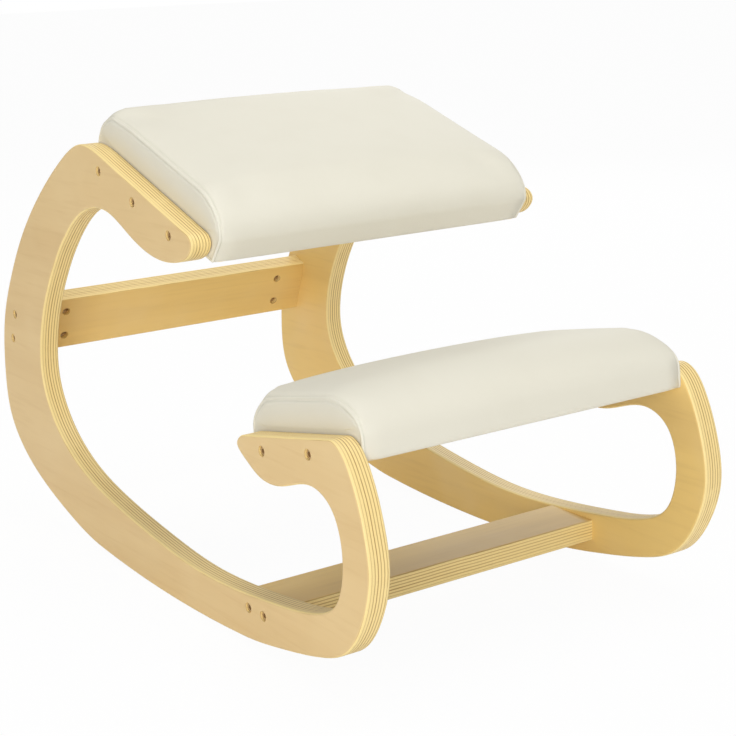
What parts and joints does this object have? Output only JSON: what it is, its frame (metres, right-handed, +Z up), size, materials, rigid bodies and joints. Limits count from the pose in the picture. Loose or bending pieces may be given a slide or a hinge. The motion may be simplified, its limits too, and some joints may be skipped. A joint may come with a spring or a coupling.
{
  "type": "kneeling chair",
  "caption": "Rocking kneeling chair: two looped plywood side frames, a sloping padded seat, a padded knee rest and two joining boards.",
  "frame": {"origin": "on the floor under the middle of the chair's bounding box", "axes": "+Z up, -Y towards the knee rest (the way a sitter faces), +X across the chair to the side frame called right; the rear stretcher is on the +Y side"},
  "size_m": [0.44, 0.8316, 0.5299],
  "materials": {
    "birch_ply": "satin clear lacquer",
    "board_ply": "raw sanded",
    "foam": "open cell foam",
    "leather_cover": "smooth satin",
    "dust_cloth": "non-woven cloth",
    "staple_steel": "bright wire",
    "bolt_steel": "zinc plated",
    "nut_steel": "zinc plated",
    "insert_brass": "machined"
  },
  "bodies": {
    "root": {"side_frame_left": "birch_ply", "side_frame_right": "birch_ply", "rear_stretcher": "birch_ply", "bottom_stretcher": "birch_ply", "seat_base_board": "board_ply", "seat_foam": "foam", "seat_cover": "leather_cover", "seat_dust_cover": "dust_cloth", "seat_cover_staples": "staple_steel", "knee_base_board": "board_ply", "knee_foam": "foam", "knee_cover": "leather_cover", "knee_dust_cover": "dust_cloth", "knee_cover_staples": "staple_steel", "seat_bolts_left": "bolt_steel", "seat_bolts_right": "bolt_steel", "knee_bolts_left": "bolt_steel", "knee_bolts_right": "bolt_steel", "rear_stretcher_bolts_left": "bolt_steel", "rear_stretcher_bolts_right": "bolt_steel", "bottom_stretcher_bolts_left": "bolt_steel", "bottom_stretcher_bolts_right": "bolt_steel", "rear_stretcher_barrel_nuts": "nut_steel", "bottom_stretcher_barrel_nuts": "nut_steel", "seat_threaded_inserts": "insert_brass", "knee_threaded_inserts": "insert_brass"}
  },
  "joints": []
}
